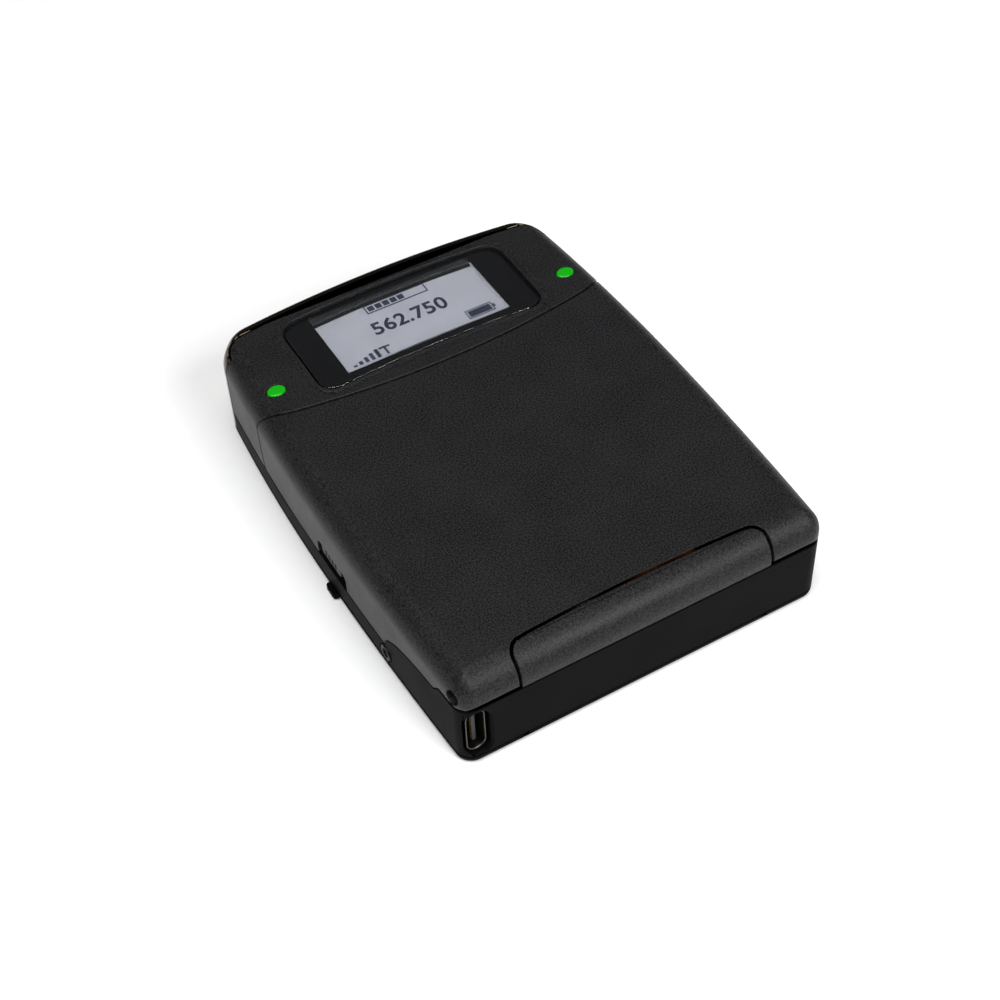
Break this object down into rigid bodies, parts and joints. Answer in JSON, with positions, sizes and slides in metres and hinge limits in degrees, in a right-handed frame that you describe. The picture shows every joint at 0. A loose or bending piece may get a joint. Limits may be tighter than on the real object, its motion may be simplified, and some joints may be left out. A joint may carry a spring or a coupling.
{
  "type": "wireless bodypack transmitter",
  "caption": "Flat black bodypack radio transmitter with a windowed display, two lights, a hinged battery door, side latches, a charging socket and a metal cap with antenna and audio sockets.",
  "frame": {"origin": "centre of the flat back face, which the pack lies on", "axes": "+X across the pack to its right as seen from the front, +Y from the hinge end to the connector end, +Z from the back face to the front face"},
  "size_m": [0.0664, 0.0889, 0.0181],
  "materials": {
    "shell": "fine-grained matte black",
    "frame": "matte black coat",
    "dark_nickel": "dark nickel plate",
    "steel": "plain nickel-plated steel",
    "gold": "gold plate",
    "insulator": "white",
    "key": "black",
    "lens": "glossy dark",
    "display": "grey display glass",
    "green_light": "green, lit",
    "gasket": "soft foam",
    "board": "green solder mask",
    "tin": "tin plate",
    "cell_jacket": "printed sleeve, no lettering"
  },
  "bodies": {
    "case": {"antenna_contact": "gold", "antenna_insulator": "insulator", "antenna_jack": "gold", "antenna_nut": "steel", "audio_shield": "tin", "back_cover": "frame", "back_screw_1": "steel", "back_screw_2": "steel", "back_screw_3": "steel", "back_screw_4": "steel", "cell_left": "cell_jacket", "cell_right": "cell_jacket", "chassis": "frame", "clip_bush_left": "key", "clip_bush_right": "key", "contact_plate_left": "steel", "contact_plate_right": "steel", "contact_spring_left": "steel", "contact_spring_right": "steel", "display_frame": "key", "display_glass": "display", "front_bezel": "shell", "hinge_block": "shell", "hinge_pin_left": "steel", "hinge_pin_right": "steel", "input_insert_1": "key", "input_insert_2": "key", "input_nut_1": "dark_nickel", "input_nut_2": "dark_nickel", "input_socket_1": "dark_nickel", "input_socket_2": "dark_nickel", "key_switch_down": "tin", "key_switch_up": "tin", "light_pipe_left": "green_light", "light_pipe_right": "green_light", "main_board": "board", "power_switch": "tin", "rf_shield": "tin", "side_board_left": "board", "side_board_right": "board", "top_cap": "dark_nickel", "usb_shell": "steel", "usb_tongue": "key", "window_gasket": "gasket", "window_lens": "lens"},
    "door": {"battery_door": "shell"},
    "left_latch": {"latch_left": "key"},
    "right_latch": {"latch_right": "key"},
    "up_key": {"button_up": "key"},
    "down_key": {"button_down": "key"},
    "power_key": {"power_button": "key"}
  },
  "joints": [
    {"name": "door_hinge", "type": "hinge", "parent": "case", "child": "door", "pos_m": [0, -0.04, 0.0142], "axis": [1, 0, 0], "range_deg": [0, 100]},
    {"name": "left_latch_slide", "type": "slide", "parent": "case", "child": "left_latch", "axis": [0, -1, 0], "range_m": [0, 0.0012], "stiffness_N_per_m": 150},
    {"name": "right_latch_slide", "type": "slide", "parent": "case", "child": "right_latch", "axis": [0, -1, 0], "range_m": [0, 0.0012], "stiffness_N_per_m": 150},
    {"name": "up_key_press", "type": "slide", "parent": "case", "child": "up_key", "axis": [-1, 0, 0], "range_m": [0, 0.0004], "stiffness_N_per_m": 800},
    {"name": "down_key_press", "type": "slide", "parent": "case", "child": "down_key", "axis": [-1, 0, 0], "range_m": [0, 0.0004], "stiffness_N_per_m": 800},
    {"name": "power_press", "type": "slide", "parent": "case", "child": "power_key", "axis": [0, -1, 0], "range_m": [0, 0.0004], "stiffness_N_per_m": 800}
  ]
}
